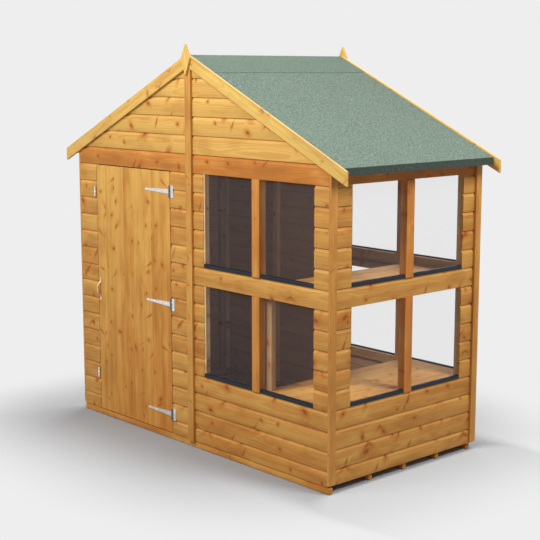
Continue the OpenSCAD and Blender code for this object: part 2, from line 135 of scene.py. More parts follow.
class ShedColours(bpy.types.PropertyGroup):
    """Colours of the finishes"""

    straw: colour("Straw pine", "Yellow pine of the bargeboards", (0.730, 0.482, 0.120))
    pale: colour("Pale pine", "Lightest honey pine", (0.755, 0.455, 0.112))
    amber: colour("Amber pine", "Deepest honey pine", (0.575, 0.192, 0.028))
    grain: colour("Late wood", "Dark lines of the grain", (0.36, 0.125, 0.018))
    halo: colour("Knot halo", "Wood around a knot", (0.49, 0.142, 0.014))
    knot: colour("Knot", "Heart of a knot", (0.255, 0.074, 0.011))
    # painted light: on the gable posts this cream stands for light falling on them behind the panes; on the
    # beads it is their own colour
    cream: colour("Cream pine", "Beads and posts beside the gable panes", (0.86, 0.66, 0.40))
    inner: colour("Inner face", "Unstained wood inside the walls", (0.62, 0.42, 0.25))
    raw: colour("Framing pine", "Framing timber inside", (0.56, 0.36, 0.17))
    felt: colour("Felt", "Mineral felt", (0.119, 0.168, 0.128))
    felt_fleck: colour("Felt fleck", "Lighter mineral grains", (0.232, 0.290, 0.238))
    # partly painted reflection: the haze's blue-grey also stands for the surroundings mirrored in the panes
    glass: colour("Glazing", "Haze on the glazing", (0.54, 0.60, 0.65))
    drip: colour("Drip strip", "Dark strip below each pane", (0.008, 0.013, 0.021))
    zinc: colour("Zinc", "Hinges and turn buttons", (0.80, 0.81, 0.82))
    bow: colour("Bow handle", "Warm plating of the handle", (0.83, 0.60, 0.40))
    # painted shade: this dark steel is also mixed over the hinge barrels
    steel: colour("Nail", "Nail heads and the hinges' dull barrels", (0.12, 0.115, 0.115))
    # painted shade: the floor's grey is shade painted round the shed, which fades into the pale background
    floor: colour("Stage floor", "Pale floor under the shed", (0.360, 0.372, 0.386))


class Wire:
    """One socket of a finish; arithmetic on it adds Math nodes to the same tree."""

    def __init__(self, finish, socket):
        self.finish, self.socket = finish, socket

    def maths(self, operation, *values):
        return self.finish.node("ShaderNodeMath", {"operation": operation}, dict(enumerate(values)))

    def __add__(self, other):
        return self.maths("ADD", self, other)

    def __sub__(self, other):
        return self.maths("SUBTRACT", self, other)

    def __rsub__(self, other):
        return self.maths("SUBTRACT", other, self)

    def __mul__(self, other):
        return self.maths("MULTIPLY", self, other)

    def __truediv__(self, other):
        return self.maths("DIVIDE", self, other)

    def __rtruediv__(self, other):
        return self.maths("DIVIDE", other, self)

    def __pow__(self, other):
        return self.maths("POWER", self, other)

    __radd__ = __add__
    __rmul__ = __mul__


class Finish:
    """A material or a world, and its node tree."""

    # Width of the soft edge where a chance is met
    soft = 0.02

    def __init__(self, name, owners=None, shader="Principled BSDF"):
        self.owner = (bpy.data.materials if owners is None else owners).new(name)
        self.owner.use_nodes = True
        self.tree = self.owner.node_tree
        self.shader = self.tree.nodes[shader]

    def node(self, kind, settings=None, values=None, out=0):
        """Adds a node: its settings first, then the values or links of its sockets."""
        made = self.tree.nodes.new(kind)
        for key, value in (settings or {}).items():
            setattr(made, key, value)
        for key, value in (values or {}).items():
            if isinstance(value, Wire):
                self.tree.links.new(value.socket, made.inputs[key])
            else:
                made.inputs[key].default_value = value
        if isinstance(out, tuple):
            return [Wire(self, made.outputs[k]) for k in out]
        return Wire(self, made.outputs[out])

    def split(self, vector):
        return self.node("ShaderNodeSeparateXYZ", None, {0: vector}, out=(0, 1, 2))

    def join(self, x, y):
        return self.node("ShaderNodeCombineXYZ", None, {0: x, 1: y})

    def step(self, value, low, high):
        """A smooth step from 0 at low to 1 at high."""
        return self.node(
            "ShaderNodeMapRange", {"interpolation_type": "SMOOTHSTEP"}, {0: value, 1: low, 2: high}
        )

    def over(self, chance, least):
        """1 where a chance is over the least, else 0."""
        return self.step(chance, least, least + self.soft)

    def mix(self, factor, a, b):
        """From colour a to colour b."""
        a, b = (tuple(c) + (1,) if not isinstance(c, Wire) else c for c in (a, b))
        return self.node("ShaderNodeMix", {"data_type": "RGBA"}, {0: factor, 6: a, 7: b}, out=2)

    def noise(self, vector, scale, detail=2.0, roughness=0.5):
        return self.node(
            "ShaderNodeTexNoise",
            {"noise_dimensions": "3D"},
            {"Vector": vector, "Scale": scale, "Detail": detail, "Roughness": roughness},
        )

    def stretched(self, vector, x, y, z):
        return self.node("ShaderNodeVectorMath", {"operation": "MULTIPLY"}, {0: vector, 1: (x, y, z)})

    def cells(self, along, across, long, wide):
        """Cells of a given size: the distance from each one's middle, and three chances of its own."""
        spot = self.join(along / long, across / wide)
        chance, middle = self.node(
            "ShaderNodeTexVoronoi",
            {"voronoi_dimensions": "2D"},
            {"Vector": spot, "Scale": 1.0, "Randomness": 0.85},
            out=("Color", "Position"),
        )
        off = self.node("ShaderNodeVectorMath", {"operation": "SUBTRACT"}, {0: spot, 1: middle})
        off_long, off_wide, _ = self.split(off)
        return [off_long * long, off_wide * wide, *self.split(chance)]

    def place(self):
        return self.node("ShaderNodeTexCoord", out=3)

    def bump(self, height, distance, strength):
        values = {"Height": height, "Distance": distance, "Strength": strength}
        self.set(Normal=self.node("ShaderNodeBump", None, values))

    def set(self, **values):
        """Sets or links the shader's own sockets, with _ for a space in a name."""
        for key, value in values.items():
            socket = self.shader.inputs[key.replace("_", " ")]
            if isinstance(value, Wire):
                self.tree.links.new(value.socket, socket)
            else:
                socket.default_value = tuple(value) + (1,) if socket.type == "RGBA" else value


def shaded(tint, by):
    """A colour made darker or lighter."""
    return tuple(c * by for c in tint)


# Each knot has a cell of wood to itself, so long and so wide, and this share of the cells holds none
ROUND_CELL = (0.23, 0.112)
ROUND_NONE = 0.44
BRANCH_CELL = (0.36, 0.15)
BRANCH_NONE = 0.30
# Branch knots over this chance are forked
FORKED = 0.66
# Distance between two rings of the tree
RING_GAP = 0.0082


def round_knots(f, along, across, fray, knots):
    """Ovals with a ragged edge: their heart, and the halo around it."""
    off_long, off_wide, pick, size, turn = f.cells(along, across, *ROUND_CELL)
    angle = (turn - 0.5) * 2.8
    cosine, sine = angle.maths("COSINE", angle), angle.maths("SINE", angle)
    radius = 0.0058 + 0.0078 * size * size
    knot_long = (off_long * cosine + off_wide * sine) / (1.1 + 0.9 * size)
    knot_wide = off_wide * cosine - off_long * sine
    reach = ((knot_long * knot_long + knot_wide * knot_wide) ** 0.5) / radius + fray * 1.1
    there = f.over(pick, ROUND_NONE) * knots
    return f.step(reach, 1.20, 0.60) * there, f.step(reach, 4.8, 0.8) * there


def branch_knots(f, along, across, fray, knots):
    """Branches cut lengthwise, a tapered streak or two that meet: their heart, and the feather around it."""
    off_long, off_wide, pick, size, turn = f.cells(along + 7.3, across + 2.1, *BRANCH_CELL)
    fork = f.over(turn, FORKED)
    off_long = off_long + (off_long.maths("ABSOLUTE", off_long) - off_long) * fork
    angle = 0.35 + 0.75 * turn
    cosine, sine = angle.maths("COSINE", angle), angle.maths("SINE", angle)
    spike_long = (off_wide * cosine + off_long * sine) / (0.022 + 0.028 * size)
    spike_wide = (off_long * cosine - off_wide * sine) / (0.0062 + 0.0066 * size)
    spike_wide = spike_wide / (0.40 + 0.60 * f.step(spike_long, -1.0, 1.0))
    reach = (spike_long * spike_long + spike_wide * spike_wide) ** 0.5 + fray * 1.2
    there = f.over(pick, BRANCH_NONE) * knots
    return f.step(reach, 1.30, 0.30) * there, f.step(reach, 3.4, 0.7) * there


def bare_inside(f, wood, inner, line):
    """Leaves the walls' inner faces unstained, with a dark line at each joint between the boards."""
    sizes = bpy.context.scene.shed_sizes
    right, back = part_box("right_apron")[0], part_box("back_apron")[0]
    x, y, z = f.split(f.place())
    past = x.maths("MAXIMUM", x.maths("ABSOLUTE", x) - right[0], y.maths("ABSOLUTE", y) - back[1])
    inside = f.step(past, 0.0025, 0.0005)
    rise = (z - (right[2] + sizes.first)) / sizes.pitch
    near = rise.maths("PINGPONG", rise, 0.5)
    wood = f.mix(inside * 0.62, wood, inner)
    return f.mix(inside * f.step(near, 0.018, 0.004) * 0.7, wood, line)


def pine(name, pale, deep, colours, knots=1.0, lines=0.26, rough=0.55, gloss=0.22, inner=None):
    """Knotty pine that follows the grain and tone kept on each board."""
    f = Finish(name)
    grain = f.node("ShaderNodeAttribute", {"attribute_name": "grain"}, out=1)
    tone = f.node("ShaderNodeAttribute", {"attribute_name": "tone"}, out=2)
    along, across, deep_in = f.split(grain)

    def flow(long, wide, detail=2.0):
        """Noise drawn out along the grain."""
        return f.noise(f.stretched(grain, long, wide, wide), 1.0, detail)

    fray = flow(70.0, 150.0) - 0.5
    core, halo = round_knots(f, along, across, fray, knots)
    branch, feather = branch_knots(f, along, across, fray, knots)

    # Rings round the heart of the tree, pushed aside by the knots
    ring = (across * across + deep_in * deep_in) ** 0.5 / RING_GAP
    ring = ring + flow(1.7, 3.0) * 5.5 + flow(5.0, 22.0, 3.0) * 1.2 + halo * 1.4 + feather * 0.9
    saw = ring.maths("FRACT", ring)
    late = f.step(saw, 0.30, 0.92) * f.step(saw, 1.0, 0.90)
    fibre, streak, cloud = flow(9.0, 420.0), flow(0.8, 19.0), flow(4.0, 11.0)

    # Tints laid over the pale wood, one after the other
    darken = 0.26 + 0.34 * tone
    tints = (
        (tone, deep),
        (f.step(cloud, 0.46, 0.72) * darken, colours.grain),
        (f.step(cloud, 0.48, 0.28) * 0.46, colours.pale),
        (f.step(streak, 0.44, 0.72) * darken * 0.85, colours.grain),
        (f.step(streak, 0.48, 0.26) * 0.42, colours.pale),
        (late * lines, colours.grain),
        (f.step(fibre, 0.40, 0.75) * 0.14, colours.grain),
        (feather * feather * 0.62, colours.halo),
        (halo * halo * 0.74, colours.halo),
        (branch * 0.78, colours.knot),
        (core * 0.88, colours.knot),
    )
    wood = pale
    for strength, tint in tints:
        wood = f.mix(strength, wood, tint)
    if inner:
        wood = bare_inside(f, wood, inner, colours.knot)
    f.set(Base_Color=wood, Roughness=rough + 0.12 * fibre - 0.08 * core, IOR=1.45, Specular_IOR_Level=gloss)
    f.bump(late * 0.35 + fibre * 0.5 + core * 0.8 + branch * 0.4, 0.0008, 0.55)
    return f.owner


# Mineral grains, clumps of grains and faded patches to a metre of felt
FELT_GRAINS = 420.0
FELT_CLUMPS = 95.0
FELT_PATCHES = 3.0


def mineral_felt(name, colours, shade=1.0, coarse=1.0):
    """Felt faced with coloured mineral grains."""
    f = Finish(name)
    place = f.place()
    rise, chance = f.node(
        "ShaderNodeTexVoronoi", {"voronoi_dimensions": "3D"}, {"Vector": place, "Scale": FELT_GRAINS},
        out=("Distance", "Color"),
    )
    fleck, _, _ = f.split(chance)
    clump = f.noise(place, FELT_CLUMPS, detail=3.0, roughness=0.65)
    patch = f.noise(place, FELT_PATCHES, detail=3.0)
    # Below 1, shade darkens the felt's colours: the eaves felt's darker copy is painted shade
    body, light = shaded(colours.felt, shade), shaded(colours.felt_fleck, shade)
    tints = (
        (f.step(patch, 0.30, 0.72) * 0.26, shaded(body, 0.70)),
        (f.step(clump, 0.44, 0.68) * 0.80 * coarse, light),
        (f.step(clump, 0.48, 0.28) * 0.62 * coarse, shaded(body, 0.42)),
        (f.step(fleck, 0.55, 0.95) * 0.45, light),
    )
    for strength, tint in tints:
        body = f.mix(strength, body, tint)
    f.set(Base_Color=body, Roughness=0.94, Specular_IOR_Level=0.25)
    f.bump(rise * -1.0 + clump * 1.5 * coarse, 0.0012, 0.8)
    return f.owner


def glazing(name, colours):
    """Clear glazing with a faint haze, whose blue-grey is in part a painted reflection."""
    f = Finish(name)
    f.owner.surface_render_method = "BLENDED"
    smear = f.noise(f.place(), 2.2, detail=2.0)
    f.set(Base_Color=colours.glass, Roughness=0.04 + 0.05 * smear, Alpha=0.03, IOR=1.5)
    return f.owner


def drip_plastic(name, colours):
    """Dark moulded strip."""
    f = Finish(name)
    scuff = f.noise(f.stretched(f.place(), 14.0, 14.0, 60.0), 1.0, detail=3.0)
    f.set(
        Base_Color=f.mix(scuff, shaded(colours.drip, 0.7), shaded(colours.drip, 1.5)),
        Roughness=0.30 + 0.20 * scuff,
        Specular_IOR_Level=0.22,
    )
    f.bump(scuff, 0.0004, 0.3)
    return f.owner


def nail_steel(name, colours):
    """Dull steel of the nails."""
    f = Finish(name)
    spot = f.noise(f.place(), 300.0, detail=2.0)
    f.set(
        Base_Color=f.mix(spot, shaded(colours.steel, 0.6), shaded(colours.steel, 1.3)),
        Roughness=0.45 + 0.3 * spot,
        Metallic=0.7,
    )
    return f.owner


def bright_zinc(name, colours, plating):
    """Bright plating with its faint spangle, with the dark steel mixed in as painted shade the higher the
    tone that is kept.
    """
    f = Finish(name)
    place = f.place()
    spangle = f.node("ShaderNodeTexVoronoi", None, {"Vector": place, "Scale": 160.0}, out="Color")
    shade, _, _ = f.split(spangle)
    cloud = f.noise(place, 45.0, detail=3.0)
    # painted shade: the kept tone mixes the dark steel over the hinge barrels
    barrel_shade = f.node("ShaderNodeAttribute", {"attribute_name": "tone"}, out=2)
    plate = f.mix(shade * 0.6 + cloud * 0.4, shaded(plating, 0.86), plating)
    f.set(
        Base_Color=f.mix(barrel_shade, plate, colours.steel),
        Roughness=0.26 + 0.20 * cloud,
        Metallic=0.9,
    )
    f.bump(cloud, 0.0003, 0.25)
    return f.owner


FINISHES = {}


def finish(name):
    """One of the shed's finishes, made when it is first asked for."""
    if not FINISHES:
        c = bpy.context.scene.shed_colours
        FINISHES.update(
            cladding=pine("honey_pine_cladding", c.pale, c.amber, c, gloss=0.32, inner=c.inner),
            door=pine("honey_pine_door", c.pale, c.amber, c, knots=0.85, lines=0.22),
            trim=pine(
                "honey_pine_trim", c.straw, c.amber, c, knots=0.55, lines=0.22, rough=0.45, gloss=0.36
            ),
            framing=pine("framing_pine", c.raw, shaded(c.raw, 0.72), c, knots=0.8),
            cream=pine("cream_pine", c.cream, c.raw, c, knots=0.6),
            shelf=pine("shelf_pine", c.pale, c.amber, c),
            felt=mineral_felt("green_mineral_felt", c),
            ridge=mineral_felt("ridge_felt", c, shade=1.06, coarse=0.45),
            # painted shade: the eaves felt is a darker copy of the felt, for the shade on its upright face
            felt_edge=mineral_felt("felt_edge", c, shade=0.34),
            glazing=glazing("clear_glazing", c),
            drip=drip_plastic("drip_plastic", c),
            zinc=bright_zinc("bright_zinc", c, c.zinc),
            bow=bright_zinc("warm_plating", c, c.bow),
            nail=nail_steel("nail_steel", c),
        )
    return FINISHES[name]


def mesh_object(name, bm, material):
    """Puts a bmesh in the scene, with one material."""
    mesh = bpy.data.meshes.new(name)
    bm.to_mesh(mesh)
    bm.free()
    mesh.materials.append(material)
    obj = bpy.data.objects.new(name, mesh)
    bpy.context.scene.collection.objects.link(obj)
    return obj


def piece(name, bm, body, slot, material, nodes=(), smooth=False):
    """Makes a bmesh a piece of the shed that rides on a body and stands for CAD nodes."""
    obj = mesh_object(name, bm, material)
    if smooth:
        obj.data.polygons.foreach_set("use_smooth", [True] * len(obj.data.polygons))
        obj.data.set_sharp_from_angle(angle=SMOOTH_BELOW)
    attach(obj, body)
    if nodes:
        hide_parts(*nodes)


def paint(nodes, material):
    """Gives CAD nodes whose shape is right a better finish."""
    for node in nodes:
        for slot in frame["nodes"][node].material_slots:
            slot.material = finish(material)


def blank():
    """An empty bmesh that can keep each vertex's grain and tone."""
    bm = bmesh.new()
    bm.verts.layers.float_vector.new("grain")
    bm.verts.layers.float.new("tone")
    return bm


def node_copy(node):
    """A copy of a CAD node's solids, merged and with their flat faces joined up."""
    bm = blank()
    bm.from_mesh(frame["nodes"][node].data)
    bmesh.ops.remove_doubles(bm, verts=bm.verts, dist=WELD)
    bmesh.ops.dissolve_limit(bm, angle_limit=FLAT_BELOW, verts=bm.verts, edges=bm.edges)
    return bm


def islands(bm):
    """The vertices of each separate solid, in the mesh's own order."""
    for v in bm.verts:
        v.tag = False
    groups = []
    for seed in bm.verts:
        if seed.tag:
            continue
        seed.tag = True
        group = [seed]
        for v in group:
            for e in v.link_edges:
                other = e.other_vert(v)
                if not other.tag:
                    other.tag = True
                    group.append(other)
        groups.append(group)
    return groups


def extent(verts):
    """Lowest and highest corner of some vertices."""
    points = [v.co for v in verts]
    return (
        Vector([min(p[k] for p in points) for k in range(3)]),
        Vector([max(p[k] for p in points) for k in range(3)]),
    )


def solid_boxes(node):
    """Lowest and highest corner of each of a CAD node's solids."""
    solids = node_copy(node)
    boxes = [extent(group) for group in islands(solids)]
    solids.free()
    return boxes


def ease_edges(bm, offset, segments=2, edges=None):
    """Rounds the edges where faces meet at an angle."""
    picked = edges or [
        e for e in bm.edges if len(e.link_faces) == 2 and e.calc_face_angle(0) > CORNER_ABOVE
    ]
    bmesh.ops.bevel(
        bm, geom=picked, offset=offset, offset_type="OFFSET", affect="EDGES",
        segments=segments, profile=0.5, material=-1, clamp_overlap=True,
    )


def bisect(bm, point, normal, clear=False):
    """Cuts every face on a plane, and may clear what lies on the normal's side."""
    return bmesh.ops.bisect_plane(
        bm, geom=[*bm.verts, *bm.edges, *bm.faces], dist=ON_PLANE,
        plane_co=point, plane_no=normal, clear_outer=clear,
    )["geom_cut"]


def cut(bm, point, normal):
    """Takes off what lies on the normal's side of a plane and closes the cut."""
    rim = [e for e in bisect(bm, point, normal, clear=True) if isinstance(e, bmesh.types.BMEdge)]
    if rim:
        bmesh.ops.holes_fill(bm, edges=rim)


def extruded(bm, outline, way):
    """Closes an outline of points and draws it out along a vector."""
    end = bm.faces.new([bm.verts.new(point) for point in outline])
    grown = bmesh.ops.extrude_face_region(bm, geom=[end])["geom"]
    bmesh.ops.translate(bm, vec=way, verts=[g for g in grown if isinstance(g, bmesh.types.BMVert)])
    bmesh.ops.recalc_face_normals(bm, faces=bm.faces)


# A board's place in its tree: how far up it starts, and how far aside of it and beyond it the heart lies
GRAIN_START = (1, 60)
HEART_ASIDE = (-0.05, 0.05)
HEART_BEYOND = (0.025, 0.085)


def lay_grain(bm, verts, along, thickness, rng, tone, painted_falloff=0.0):
    """Keeps each vertex's tone and its place in its own board: along the grain, across it and into it."""
    grain = bm.verts.layers.float_vector["grain"]
    shade = bm.verts.layers.float["tone"]
    across = thickness.cross(along)
    low, high = extent(verts)
    middle = (low + high) / 2
    start = rng.uniform(*GRAIN_START)
    heart = Vector((0, rng.uniform(*HEART_ASIDE), rng.choice((-1, 1)) * rng.uniform(*HEART_BEYOND)))
    for v in verts:
        p = v.co - middle
        v[grain] = Vector((p.dot(along) + start, p.dot(across), p.dot(thickness))) + heart
        # painted shade: the tone grows toward the board's foot, so it is darker lower down, where less light
        # falls
        v[shade] = tone + painted_falloff * (high.z - v.co.z) / (high.z - low.z)


def grain_of(verts):
    """The way a timber's grain runs, along its longest edge, and the way through its widest face."""
    edges = {e for v in verts for e in v.link_edges}
    longest = max(edges, key=lambda e: (round(e.calc_length(), 5), -e.index))
    along = (longest.verts[1].co - longest.verts[0].co).normalized()
    faces = {f for v in verts for f in v.link_faces if abs(f.normal.dot(along)) < SIDE_LEAN}
    widest = max(faces, key=lambda f: (round(f.calc_area(), 7), -f.index))
    thickness = (widest.normal - along * widest.normal.dot(along)).normalized()
    return along, thickness


def timber(node, ease, tones, material, slot, body="shed"):
    """A CAD node's timbers with eased edges and a grain of their own."""
    bm = node_copy(node)
    ease_edges(bm, ease)
    bm.edges.index_update()
    bm.faces.index_update()
    rng = random.Random(node)
    for verts in islands(bm):
        along, thickness = grain_of(verts)
        lay_grain(bm, verts, along, thickness, rng, rng.uniform(*tones))
    piece(node + "_timber", bm, body, slot, finish(material), (node,))


class Stack:
    """Gathers separate boards into one mesh."""

    def __init__(self, name, painted_falloff=0.0):
        self.name, self.painted_falloff = name, painted_falloff
        self.bm = blank()
        self.rng = random.Random(name)
        self.scratch = bpy.data.meshes.new("scratch")

    def add(self, board, along, thickness, tone):
        if board.verts:
            lay_grain(board, board.verts, along, thickness, self.rng, tone, self.painted_falloff)
            board.to_mesh(self.scratch)
            self.bm.from_mesh(self.scratch)
            self.scratch.clear_geometry()
        board.free()

    def done(self, body, slot, material, nodes, smooth=False):
        bpy.data.meshes.remove(self.scratch)
        piece(self.name, self.bm, body, slot, finish(material), nodes, smooth)


def sliced(name, node, across, along, pitch, tones, body, slot, material, fine=1.0, painted_falloff=0.0):
    """Slices a CAD slab into boards of about one pitch, side by side along one axis."""
    sizes = bpy.context.scene.shed_sizes
    stack = Stack(name, painted_falloff)
    gap = sizes.joint * fine
    for low, high in solid_boxes(node):
        count = max(1, round((high - low).dot(across) / pitch))
        wide = (high - low).dot(across) / count
        for n in range(count):
            board = node_copy(node)
            for side in (RIGHT, BACK, UP):
                cut(board, low - side * HAIR, -side)
                cut(board, high + side * HAIR, side)
            a = low.dot(across) + n * wide + (gap / 2 if n else 0)
            b = low.dot(across) + (n + 1) * wide - (gap / 2 if n < count - 1 else 0)
            cut(board, across * a, -across)
            cut(board, across * b, across)
            ease_edges(board, sizes.ease * fine)
            board.faces.ensure_lookup_table()
            widest = max(board.faces, key=lambda f: f.calc_area())
            way = (along - widest.normal * along.dot(widest.normal)).normalized()
            stack.add(board, way, widest.normal.copy(), stack.rng.uniform(*tones))
    stack.done(body, slot, material, (node,))


class RoofLine:
    """The planes under the roof boards, read from the gable and the side wall."""

    def __init__(self):
        self.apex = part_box("front_window_gable")[1][2]
        low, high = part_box("right_head")
        self.fall = (self.apex - high[2]) / low[0]
        self.point = Vector((0, 0, self.apex))
        self.sides = [Vector((s * self.fall, 0, 1)).normalized() for s in (1, -1)]


# A board's hollow is drawn in this many steps, and the rebate above it goes this share into the board
HOLLOW_STEPS = 8
REBATE = 0.62
# Middle of a lip's rounding, as a share of it
LIP_MIDDLE = 0.3


def shiplap(sizes, roof, normal, face, u0, u1, z0, z1, course):
    """One cladding board: a flat face, a hollow along its top and a lip below, cut to wall and roof."""
    along = normal.cross(UP)
    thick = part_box("right_apron")[1][0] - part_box("right_apron")[0][0]
    low, high = course
    top = high - sizes.slot
    middle = sizes.lip * LIP_MIDDLE
    outline = [(thick, low), (sizes.lip, low), (middle, low + middle), (0, low + sizes.lip)]
    for n in range(HOLLOW_STEPS + 1):
        t = n / HOLLOW_STEPS
        outline.append((sizes.hollow * math.sin(math.pi / 2 * t), top - sizes.scoop * (1 - t)))
    outline += [(thick * REBATE, top + sizes.slot * 0.2), (thick * REBATE, high), (thick, high)]
    board = blank()
    points = [along * u0 + normal * (face - recess) + UP * z for recess, z in outline]
    extruded(board, points, along * (u1 - u0))
    if z0 > low + HAIR:
        cut(board, UP * z0, -UP)
    if z1 < high - HAIR:
        cut(board, UP * z1, UP)
    for side in roof.sides:
        cut(board, roof.point, side)
    return board


# How far a nail head stands out, and its top as a share of its radius
NAIL_PROUD = 0.0006
NAIL_TOP = 0.75


def stud(bm, point, out, segments, foot, top, tall, middle):
    """A low cone that stands out from a point."""
    turn = UP.rotation_difference(out).to_matrix().to_4x4()
    return bmesh.ops.create_cone(
        bm, cap_ends=True, segments=segments, radius1=foot, radius2=top, depth=tall,
        matrix=Matrix.Translation(point + out * middle) @ turn,
    )["verts"]


def nail_head(bm, point, out, radius):
    """A low flat nail head."""
    stud(bm, point, out, 8, radius, radius * NAIL_TOP, NAIL_PROUD, NAIL_PROUD / 2)


class SHED_OT_cladding(bpy.types.Operator):
    """Lays the shiplap boards of the four walls"""

    bl_idname = "shed.cladding"
    bl_label = "Cladding"

    pieces = {
        "front_cladding": ("cladding", "front_door_strips", "front_apron", "front_jambs", "front_midrail"),
        "front_gable_cladding": ("gable_cladding", "front_door_gable", "front_window_gable"),
        "back_cladding": ("cladding", "back_plain_wall", "back_apron", "back_jambs", "back_midrail"),
        "back_gable_cladding": ("gable_cladding", "back_window_gable"),
        "right_cladding": ("cladding", "right_apron", "right_jambs", "right_midrail", "right_head"),
        "left_cladding": ("cladding", "left_wall"),
    }

    tones = {
        "apron": (0.55, 0.90),
        "jambs": (0.38, 0.68),
        "midrail": (0.42, 0.55),
        "strips": (0.35, 0.62),
        # painted shade: the right wall's head board is deepest amber, for the shadow under the eaves
        "head": (1.0, 1.0),
    }
    plain_tones = (0.45, 0.80)
    header_tones = (0.78, 0.94)
    gable_tones = (0.0, 0.14)
    # painted light: the right apron's boards are made paler by this much, to brighten that wall
    right_apron_painted_light = 0.06

    # Nails above a board's lower edge
    nail_rise = 0.024

    def execute(self, context):
        sizes = context.scene.shed_sizes
        roof = RoofLine()
        nails = bmesh.new()
        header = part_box("front_window_gable")[0][2]
        for name, (slot, *nodes) in self.pieces.items():
            normal = WALLS[name.split("_")[0]]
            along = normal.cross(UP)
            stack = Stack(name)
            posts = self.posts(normal)
            for node in nodes:
                for low, high in solid_boxes(node):
                    face = max(low.dot(normal), high.dot(normal))
                    u0, u1 = sorted((low.dot(along), high.dot(along)))
                    for course in self.courses(sizes, low.z, high.z):
                        board = shiplap(sizes, roof, normal, face, u0, u1, low.z, high.z, course)
                        stack.add(board, along, normal, self.tone(stack.rng, node, course, header))
                        z = max(course[0], low.z) + self.nail_rise
                        if z < min(course[1] - sizes.scoop, high.z, header):
                            for u in (u for u in posts if u0 < u < u1):
                                nail_head(nails, along * u + normal * face + UP * z, normal, sizes.nail)
            stack.done("shed", slot, "cladding", nodes, smooth=True)
        piece("cladding_nails", nails, "shed", "zinc", finish("nail"))
        return {"FINISHED"}

    def courses(self, sizes, low, high):
        """Lower and upper edge of each board that shows between two heights."""
        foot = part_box("front_apron")[0][2]
        course = (foot + sizes.foot_gap, foot + sizes.first)
        while course[0] < high - HAIR:
            if course[1] > low + HAIR:
                yield course
            course = (course[1], course[1] + sizes.pitch)

    def posts(self, normal):
        """Where the posts behind a wall stand, measured along it."""
        along = normal.cross(UP)
        boxes = solid_boxes("side_posts" if normal.x else "gable_posts")
        middles = [(low + high) / 2 for low, high in boxes]
        return sorted({round(m.dot(along), 4) for m in middles if m.dot(normal) > 0})

    def tone(self, rng, node, course, header):
        """Deep amber over the door and windows, pale in the gable, between the two below, and paler on the
        right apron as painted light.
        """
        if "gable" in node:
            tones = self.header_tones if abs(course[0] - header) < HAIR else self.gable_tones
        else:
            tones = self.tones.get(node.split("_")[-1], self.plain_tones)
        return rng.uniform(*tones) - (self.right_apron_painted_light if node == "right_apron" else 0.0)


class SHED_OT_framing(bpy.types.Operator):
    """Cuts the framing timber with eased edges"""

    bl_idname = "shed.framing"
    bl_label = "Framing"

    # painted light: pale tones for the gable posts
    pale_tones = (0.0, 0.2)
    plain_tones = (0.0, 1.0)
    bearer_tones = (0.6, 0.8)

    def execute(self, context):
        sizes = context.scene.shed_sizes
        # painted light: the gable posts get the pale cream finish, for light falling on them behind the
        # panes
        timber("gable_posts", sizes.ease, self.pale_tones, "cream", "framing")
        for node in ("gable_rails", "gable_rafters", "side_posts", "side_rails", "eaves_rails",
                     "roof_purlins", "staging_bearers", "staging_posts"):
            timber(node, sizes.ease, self.plain_tones, "framing", "framing")
        timber("floor_bearers", sizes.bearer_ease, self.bearer_tones, "door", "floor")
        return {"FINISHED"}


class SHED_OT_trim(bpy.types.Operator):
    """Planes the cover strips, corner strips, window bars, bargeboards and finials"""

    bl_idname = "shed.trim"
    bl_label = "Trim"

    tones = {
        "gable_battens": (0.48, 0.56),
        "corner_strips": (0.62, 0.74),
        "window_mullions": (0.86, 1.0),
        "bargeboards_left": (0.08, 0.18),
        "bargeboards_right": (0.0, 0.02),
        "finials": (0.0, 0.04),
    }

    def execute(self, context):
        ease = context.scene.shed_sizes.ease
        for node, tones in self.tones.items():
            timber(node, ease, tones, "trim", "trim")
        return {"FINISHED"}


class SHED_OT_floor(bpy.types.Operator):
    """Lays the floor boards across the bearers"""

    bl_idname = "shed.floor"
    bl_label = "Floor"

    tones = (0.3, 0.8)

    def execute(self, context):
        board = context.scene.shed_sizes.deck_board
        sliced("floor_boards", "floor_deck", RIGHT, BACK, board, self.tones, "shed", "floor", "shelf")
        return {"FINISHED"}


class SHED_OT_staging(bpy.types.Operator):
    """Lays the staging bench's shelf boards"""

    bl_idname = "shed.staging"
    bl_label = "Staging"

    tones = (0.28, 0.58)

    def execute(self, context):
        board = context.scene.shed_sizes.shelf_board
        sliced("shelf_boards", "staging_shelves", RIGHT, BACK, board, self.tones, "shed", "shelf", "shelf")
        return {"FINISHED"}


